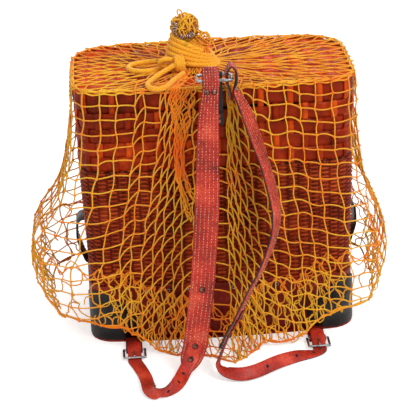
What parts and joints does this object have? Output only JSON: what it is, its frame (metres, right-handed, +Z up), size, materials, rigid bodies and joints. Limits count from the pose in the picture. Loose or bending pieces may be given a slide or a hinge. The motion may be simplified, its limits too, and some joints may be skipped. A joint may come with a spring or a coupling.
{
  "type": "wicker fishing creel",
  "caption": "Backpack fishing creel: plaited wicker basket with hinged lid, leather base, two buckled shoulder straps and a knotted net cover gathered over the lid.",
  "frame": {"origin": "centre of the sole's underside, on the ground", "axes": "+Z up; +X to the right as seen from the strap side; the strap side, which lies against the wearer, faces -Y and the lid's hinge side faces +Y"},
  "size_m": [0.492, 0.403, 0.4303],
  "materials": {
    "lacquered_splint": "lacquered, glossy",
    "lacquered_wicker": "lacquered, glossy",
    "maroon_leather": "waxed, satin",
    "black_leather": "waxed, satin",
    "strap_leather": "pebbled, satin",
    "steel": "polished",
    "dark_steel": "dull grey",
    "net_twine": "twisted twine",
    "tie_cord": "soft braided cord"
  },
  "bodies": {
    "creel": {"base_sole": "maroon_leather", "leather_base": "maroon_leather", "corner_guard_back_left": "black_leather", "corner_guard_back_right": "black_leather", "corner_guard_front_left": "black_leather", "corner_guard_front_right": "black_leather", "base_eyelets": "steel", "basket_floor": "lacquered_wicker", "wall_weave": "lacquered_wicker", "wall_splints": "lacquered_splint", "rim_hoop": "lacquered_splint", "rim_collar": "lacquered_splint", "hinge_strap_left": "strap_leather", "hinge_strap_right": "strap_leather", "hinge_rivets": "steel", "ring_tab": "strap_leather", "ring_tab_rivets": "steel", "shoulder_strap_left": "strap_leather", "shoulder_strap_right": "strap_leather", "lower_strap_left": "strap_leather", "lower_strap_right": "strap_leather", "strap_rivets": "steel", "buckle_tab_left": "strap_leather", "buckle_tab_right": "strap_leather", "side_loop_left": "black_leather", "side_loop_right": "black_leather", "side_loop_rivets": "dark_steel"},
    "lid": {"lid_panel": "lacquered_splint", "lid_band": "lacquered_splint", "hinge_leaf_left": "strap_leather", "hinge_leaf_right": "strap_leather", "hinge_leaf_rivets": "steel", "net_top": "net_twine", "net_neck": "net_twine", "net_knot": "net_twine", "net_rings": "dark_steel", "tie_winding": "tie_cord", "tie_loop_drop": "tie_cord", "tie_loop_long": "tie_cord", "net_skirt_left": "net_twine", "net_skirt_right": "net_twine", "net_skirt_front": "net_twine", "net_skirt_back_left": "net_twine", "net_skirt_back_right": "net_twine"},
    "ring": {"strap_ring": "steel"},
    "buckle_left": {"buckle_frame_left": "steel"},
    "buckle_right": {"buckle_frame_right": "steel"},
    "prong_left": {"buckle_prong_left": "steel"},
    "prong_right": {"buckle_prong_right": "steel"}
  },
  "joints": [
    {"name": "lid_hinge", "type": "hinge", "parent": "creel", "child": "lid", "pos_m": [0, 0.1017, 0.32525], "axis": [-1, 0, 0], "range_deg": [0, 105], "deforming": ["net_skirt_left", "net_skirt_right", "net_skirt_front", "net_skirt_back_left", "net_skirt_back_right"]},
    {"name": "ring_swing", "type": "hinge", "parent": "creel", "child": "ring", "pos_m": [-0.003, -0.1089, 0.374], "axis": [-1, 0, 0], "range_deg": [-10, 15]},
    {"name": "buckle_left_lift", "type": "hinge", "parent": "creel", "child": "buckle_left", "pos_m": [-0.122, -0.129, 0.0048], "axis": [-1, 0, 0], "range_deg": [0, 8]},
    {"name": "buckle_right_lift", "type": "hinge", "parent": "creel", "child": "buckle_right", "pos_m": [0.122, -0.129, 0.0048], "axis": [-1, 0, 0], "range_deg": [0, 8]},
    {"name": "prong_left_lift", "type": "hinge", "parent": "buckle_left", "child": "prong_left", "pos_m": [-0.122, -0.129, 0.0048], "axis": [-1, 0, 0], "range_deg": [0, 10]},
    {"name": "prong_right_lift", "type": "hinge", "parent": "buckle_right", "child": "prong_right", "pos_m": [0.122, -0.129, 0.0048], "axis": [-1, 0, 0], "range_deg": [0, 10]}
  ]
}
